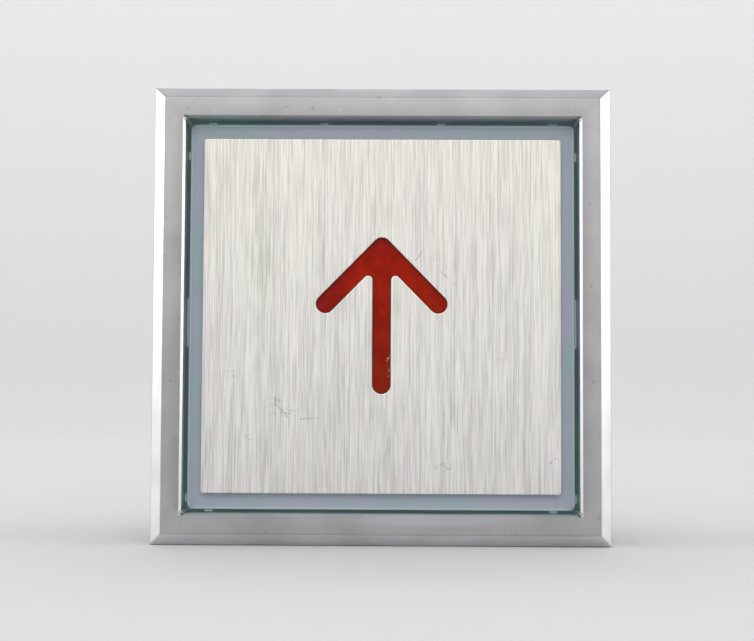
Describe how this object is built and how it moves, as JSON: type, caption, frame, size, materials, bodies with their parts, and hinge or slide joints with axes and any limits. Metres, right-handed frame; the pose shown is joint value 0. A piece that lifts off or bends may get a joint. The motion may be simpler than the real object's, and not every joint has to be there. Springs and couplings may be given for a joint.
{
  "type": "square lift landing-call push button",
  "caption": "Square panel-mounted call button: mitred metal bezel, frosted lens, brushed plate with a red up arrow, sprung over a lever microswitch and lamp board.",
  "frame": {"origin": "centre of the panel seat, the back face of the bezel's flange", "axes": "+Z the way the arrow points, -Y out of the front face towards the user, +X to the right seen from the front"},
  "size_m": [0.04, 0.022, 0.04],
  "materials": {
    "bezel_metal": "satin-plated zinc die casting, fine tumbled grain",
    "frosted_lens": "frosted blue-grey polycarbonate, satin surface",
    "adhesive": "thin double-sided acrylic film",
    "brushed_plate": "stainless sheet, vertical brushed grain, lightly scratched",
    "arrow_red": "dull red translucent acrylic",
    "spring_wire": "bright spring wire",
    "board_green": "green solder mask over glass-epoxy board",
    "lamp_white": "white lamp body with a pale yellow phosphor fill",
    "resistor_black": "black chip with tinned ends",
    "switch_plastic": "black moulded switch case",
    "switch_steel": "stamped stainless lever and pin",
    "plunger_red": "red moulded plunger",
    "blade_bronze": "phosphor-bronze strip",
    "contact_brass": "gold-flashed brass",
    "header_nylon": "natural white nylon",
    "cover_plastic": "black fine-textured moulding",
    "screw_zinc": "bright zinc-plated steel",
    "clip_steel": "stainless spring strip"
  },
  "bodies": {
    "housing": {"bezel": "bezel_metal", "return_spring_1": "spring_wire", "return_spring_2": "spring_wire", "return_spring_3": "spring_wire", "return_spring_4": "spring_wire", "circuit_board": "board_green", "ring_led_1": "lamp_white", "ring_led_2": "lamp_white", "ring_led_3": "lamp_white", "ring_led_4": "lamp_white", "ring_led_5": "lamp_white", "ring_led_6": "lamp_white", "ring_led_7": "lamp_white", "ring_led_8": "lamp_white", "arrow_led_1": "lamp_white", "arrow_led_2": "lamp_white", "resistor_1": "resistor_black", "resistor_2": "resistor_black", "resistor_3": "resistor_black", "resistor_4": "resistor_black", "switch_case": "switch_plastic", "switch_lid": "switch_plastic", "lever_pin": "switch_steel", "terminal_com": "contact_brass", "terminal_no": "contact_brass", "terminal_nc": "contact_brass", "header_body": "header_nylon", "header_pin_1": "contact_brass", "header_pin_2": "contact_brass", "header_pin_3": "contact_brass", "header_pin_4": "contact_brass", "rear_cover": "cover_plastic", "cover_screws": "screw_zinc", "panel_clip_1": "clip_steel", "panel_clip_2": "clip_steel"},
    "button": {"lens": "frosted_lens", "plate_adhesive": "adhesive", "cap_plate": "brushed_plate", "arrow_insert": "arrow_red"},
    "lever": {"switch_lever": "switch_steel"},
    "plunger": {"switch_plunger": "plunger_red"},
    "blade": {"contact_blade": "blade_bronze"}
  },
  "joints": [
    {"name": "button_press", "type": "slide", "parent": "housing", "child": "button", "axis": [0, 1, 0], "range_m": [0, 0.0012], "stiffness_N_per_m": 1300, "springref_m": -0.0015, "deforming": ["return_spring_1", "return_spring_2", "return_spring_3", "return_spring_4"]},
    {"name": "lever_tilt", "type": "hinge", "parent": "housing", "child": "lever", "pos_m": [-0.0102, 0.0021, 0], "axis": [0, 0, 1], "range_deg": [0, 6.79]},
    {"name": "plunger_slide", "type": "slide", "parent": "housing", "child": "plunger", "axis": [0, 1, 0], "range_m": [0, 0.00057]},
    {"name": "blade_tilt", "type": "hinge", "parent": "housing", "child": "blade", "pos_m": [-0.00988, 0.00475, 0], "axis": [0, 0, 1], "range_deg": [0, 7.27]}
  ],
  "couplings": [
    {"joint": "lever_tilt", "follows": "button_press", "rad_per_m": 98.039},
    {"joint": "plunger_slide", "follows": "button_press", "ratio": 0.47059},
    {"joint": "blade_tilt", "follows": "button_press", "rad_per_m": 105.04}
  ]
}
